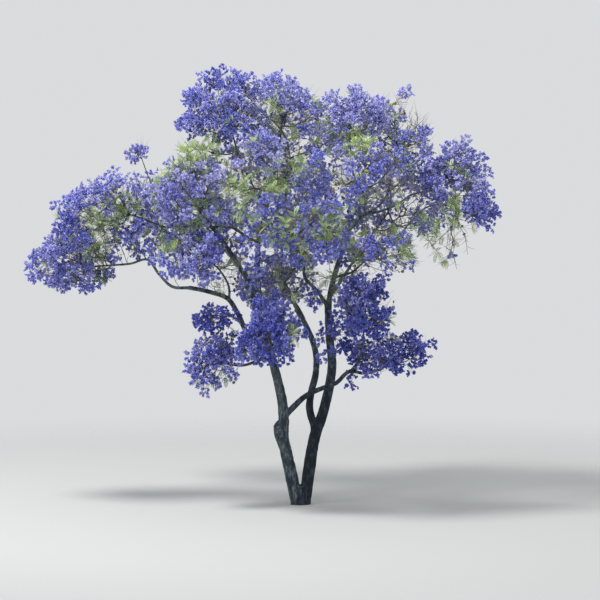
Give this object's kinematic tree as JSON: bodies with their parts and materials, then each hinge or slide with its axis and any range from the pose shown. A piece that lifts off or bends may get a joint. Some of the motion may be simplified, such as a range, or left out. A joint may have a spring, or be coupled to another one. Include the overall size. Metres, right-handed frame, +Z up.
{
  "type": "jacaranda tree",
  "caption": "Flowering jacaranda tree: leaning stems from one root, open spreading boughs and a low wide crown of violet blossom.",
  "frame": {"origin": "middle of the flat cut under the fused foot of the stems, at ground level", "axes": "+Z up, -Y towards the side first seen, +X to the right of that side"},
  "size_m": [8.75, 6.3, 8],
  "materials": {
    "bark": "rough, fissured grey-brown bark",
    "twig": "matte pale grey-brown",
    "blossom": "soft matte petals",
    "leaf": "soft satin young leaves"
  },
  "bodies": {
    "root": {"back_left": "blossom", "back_left_bough": "bark", "back_low": "blossom", "back_low_bough": "bark", "back_middle": "blossom", "back_middle_bough": "bark", "back_right": "blossom", "back_right_bough": "bark", "back_top": "blossom", "back_top_bough": "bark", "centre_bough": "bark", "cross_bough": "bark", "cut_stub": "bark", "dome_bough": "bark", "far_left_bough": "bark", "front_centre": "blossom", "front_high": "blossom", "front_high_bough": "bark", "front_low_bough": "bark", "front_right": "blossom", "front_right_bough": "bark", "front_upper": "blossom", "front_upper_bough": "bark", "left_bough": "bark", "left_middle": "blossom", "left_riser": "bark", "left_sprig": "blossom", "left_stem": "bark", "left_tip": "blossom", "left_top": "blossom", "left_under": "blossom", "long_left_bough": "bark", "low_centre": "blossom", "low_left": "blossom", "low_left_bough": "bark", "low_left_cluster": "blossom", "low_left_spur": "twig", "low_middle": "blossom", "low_right": "blossom", "low_right_riser": "bark", "low_skirt": "blossom", "middle_left_bough": "bark", "middle_right_bough": "bark", "middle_stem": "bark", "right_bough": "bark", "right_fan_bough": "bark", "right_high_bough": "bark", "right_shoulder": "blossom", "right_stem": "bark", "right_thin_bough": "bark", "right_tip": "blossom", "right_under": "leaf", "shelf_bough": "bark", "sprig_bough": "twig", "top_crest": "blossom", "top_dome": "blossom", "top_right": "blossom", "top_right_bough": "bark", "trunk_foot": "bark", "upper_right": "blossom"}
  },
  "joints": []
}
